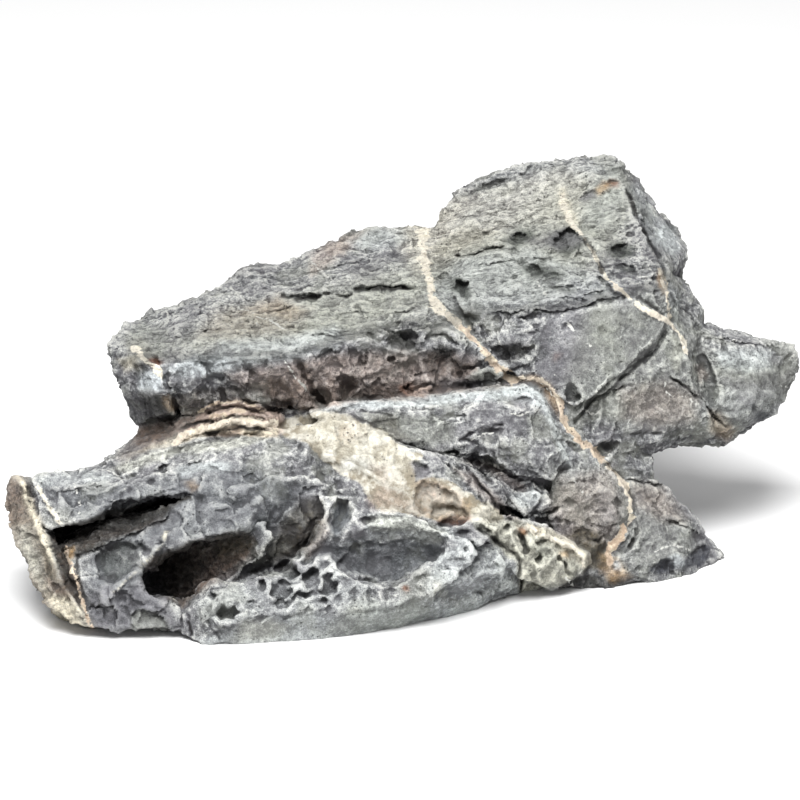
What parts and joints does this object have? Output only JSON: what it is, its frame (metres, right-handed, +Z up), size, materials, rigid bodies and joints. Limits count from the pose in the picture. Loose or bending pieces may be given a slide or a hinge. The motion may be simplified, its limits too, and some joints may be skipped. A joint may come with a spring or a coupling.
{
  "type": "seiryu stone",
  "caption": "Weathered grey limestone aquascaping rock: a pale layered slab and tower over a hollowed, veined lower block, cut flat to stand.",
  "frame": {"origin": "on the flat bed, directly below the middle of the show face", "axes": "+X to the right along the show face, +Y away from the viewer, +Z up"},
  "size_m": [0.3026, 0.1832, 0.1448],
  "materials": {
    "limestone": "weathered matte limestone with calcite veins"
  },
  "bodies": {
    "root": {"stone": "limestone"}
  },
  "joints": []
}
